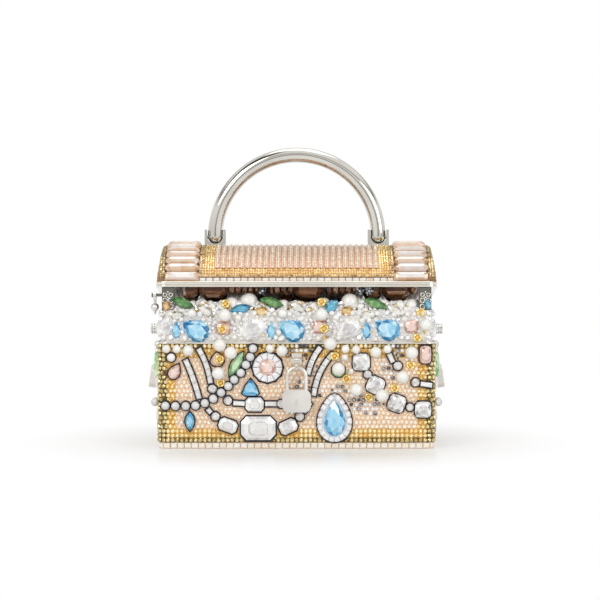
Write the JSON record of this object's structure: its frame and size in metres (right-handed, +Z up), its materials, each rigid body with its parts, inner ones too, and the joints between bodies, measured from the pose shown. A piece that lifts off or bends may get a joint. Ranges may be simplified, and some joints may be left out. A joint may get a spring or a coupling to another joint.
{
  "type": "treasure box minaudiere",
  "caption": "Rigid evening bag shaped as an overflowing jewel chest, with an arched hinged lid held ajar, a folding half-ring handle, hanging padlocks and bonded stones and pearls.",
  "frame": {"origin": "centre of the case's flat underside", "axes": "+X to the wearer's right as the front is seen, +Y from front to rear, +Z up"},
  "size_m": [0.1626, 0.097, 0.1621],
  "materials": {
    "moulded_shell": "lacquered, under the beads",
    "lining": "fine grain, soft sheen",
    "bead_covering": "sheet of faceted peach, gold and olive beads",
    "peach_crystal": "foiled cut glass",
    "polished_metal": "mirror polish, light champagne",
    "steel": "plain",
    "blue_crystal": "foiled cut glass",
    "clear_crystal": "foiled cut glass",
    "pink_crystal": "foiled cut glass",
    "green_crystal": "foiled cut glass",
    "coloured_crystal": "foiled cut glass, several colours",
    "smoky_crystal": "foiled cut glass",
    "pearl": "pearl lustre",
    "grey_pearl": "pearl lustre",
    "gold_link": "bright gold plate",
    "dark_outline": "dark enamel",
    "satin_metal": "satin champagne silver"
  },
  "bodies": {
    "case": {"case_shell": "moulded_shell", "case_lining": "lining", "case_bead_sheet": "bead_covering", "foot_crystals": "peach_crystal", "case_rim": "polished_metal", "collar": "polished_metal", "rest_posts": "polished_metal", "rest_magnets": "steel", "hinge_leaf_lower": "polished_metal", "hinge_pin": "polished_metal", "strap_post_left": "polished_metal", "strap_post_right": "polished_metal", "band_blue_pears": "blue_crystal", "band_white_ovals": "clear_crystal", "band_blue_marquises": "blue_crystal", "band_pink_cushions": "pink_crystal", "band_clear_squares": "clear_crystal", "band_pearls": "pearl", "shelf_green_marquises": "green_crystal", "shelf_blue_marquises": "blue_crystal", "shelf_champagne_stones": "peach_crystal", "shelf_clear_stones": "clear_crystal", "shelf_pearls": "pearl", "necklace_pearls": "pearl", "necklace_links": "gold_link", "front_outlines": "dark_outline", "front_octagons": "clear_crystal", "front_cushions": "clear_crystal", "front_rounds": "clear_crystal", "front_baguettes": "clear_crystal", "grey_pearl_string": "grey_pearl", "front_pearls": "pearl", "teardrop_stone": "blue_crystal", "teardrop_ring": "clear_crystal", "halo_cushion": "pink_crystal", "halo_ring": "clear_crystal", "front_colour_stones": "coloured_crystal", "side_stones": "clear_crystal", "front_staple": "polished_metal", "side_staples": "polished_metal"},
    "lid": {"lid_shell": "moulded_shell", "lid_rim": "polished_metal", "lid_bead_sheet": "bead_covering", "lid_baguettes": "peach_crystal", "lid_row_crystals": "peach_crystal", "lid_inner_plate": "polished_metal", "lid_smoky_octagons": "smoky_crystal", "lid_magnets": "steel", "hinge_leaf_upper": "polished_metal", "handle_sockets": "polished_metal", "socket_nuts": "steel", "handle_pins": "polished_metal"},
    "handle": {"handle": "polished_metal"},
    "front_bail": {"front_bail": "satin_metal"},
    "front_padlock": {"front_padlock_body": "satin_metal", "front_padlock_shackle": "satin_metal"},
    "left_padlock": {"left_padlock": "satin_metal"},
    "right_padlock": {"right_padlock": "satin_metal"},
    "left_clasp_charm": {"left_clasp_charm": "polished_metal"}
  },
  "joints": [
    {"name": "lid_hinge", "type": "hinge", "parent": "case", "child": "lid", "pos_m": [0, 0.045, 0.075], "axis": [-1, 0, 0], "range_deg": [0, 85]},
    {"name": "handle_fold", "type": "hinge", "parent": "lid", "child": "handle", "pos_m": [0, 0.00467, 0.11297], "axis": [1, 0, 0], "range_deg": [-80, 80]},
    {"name": "bail_lift", "type": "hinge", "parent": "case", "child": "front_bail", "pos_m": [0, -0.0459, 0.0472], "axis": [-1, 0, 0], "range_deg": [0, 60]},
    {"name": "front_padlock_swing", "type": "hinge", "parent": "front_bail", "child": "front_padlock", "pos_m": [0, -0.0459, 0.04373], "axis": [-1, 0, 0], "range_deg": [0, 35]},
    {"name": "left_padlock_lift", "type": "hinge", "parent": "case", "child": "left_padlock", "pos_m": [-0.07625, 0, 0.05375], "axis": [0, 1, 0], "range_deg": [0, 60]},
    {"name": "right_padlock_lift", "type": "hinge", "parent": "case", "child": "right_padlock", "pos_m": [0.07625, 0, 0.05375], "axis": [0, -1, 0], "range_deg": [0, 60]},
    {"name": "clasp_charm_swing", "type": "hinge", "parent": "case", "child": "left_clasp_charm", "pos_m": [-0.0759, -0.0365, 0.082], "axis": [1, 0, 0], "range_deg": [-25, 25]}
  ]
}
